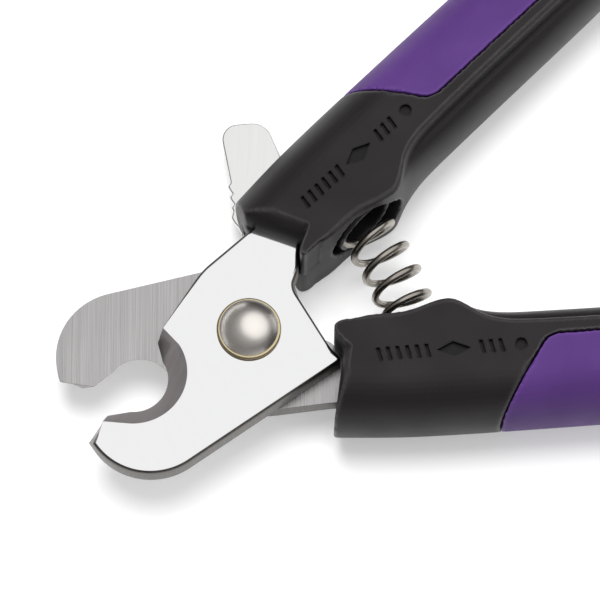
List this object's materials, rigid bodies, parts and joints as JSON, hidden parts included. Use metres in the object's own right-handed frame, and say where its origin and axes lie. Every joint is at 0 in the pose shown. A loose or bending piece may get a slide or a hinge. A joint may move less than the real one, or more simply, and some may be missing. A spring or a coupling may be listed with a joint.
{
  "type": "scissor nail clipper",
  "caption": "Plier-type pet nail clipper: two hooked blades on a domed pivot, moulded handles with soft grips, an opening spring and a swing-out safety guard.",
  "frame": {"origin": "centre of the pivot nut's flat back face, on the pivot axis and level with the backs of the handles", "axes": "+X from the pivot between the two handles, +Y towards the upper handle, +Z along the pivot axis towards its domed head"},
  "size_m": [0.1379, 0.0976, 0.015],
  "materials": {
    "polished_steel": "mirror polished stainless steel",
    "brushed_steel": "stainless steel brushed across the blade",
    "satin_steel": "satin",
    "spring_steel": "bright drawn wire",
    "brass": "satin",
    "black_plastic": "moulded with a fine grain",
    "purple_grip": "soft touch, fine grain"
  },
  "bodies": {
    "upper_half": {"front_blade": "polished_steel", "upper_handle": "black_plastic", "upper_grip": "purple_grip", "pivot_bolt": "satin_steel", "flanged_bush": "brass", "friction_washer": "brass", "wave_washer": "satin_steel", "pivot_nut": "satin_steel", "handle_spring": "spring_steel"},
    "lower_half": {"rear_blade": "brushed_steel", "lower_handle": "black_plastic", "lower_grip": "purple_grip"},
    "guard": {"safety_guard": "polished_steel"}
  },
  "joints": [
    {"name": "handle_close", "type": "hinge", "parent": "upper_half", "child": "lower_half", "pos_m": [0, 0, 0.0075], "axis": [0, 0, 1], "range_deg": [0, 28], "stiffness_Nm_per_rad": 0.5, "springref_deg": -8.59, "deforming": ["handle_spring"]},
    {"name": "guard_swing", "type": "hinge", "parent": "upper_half", "child": "guard", "pos_m": [0, 0, 0.0036], "axis": [0, 0, 1], "range_deg": [0, 114]}
  ]
}
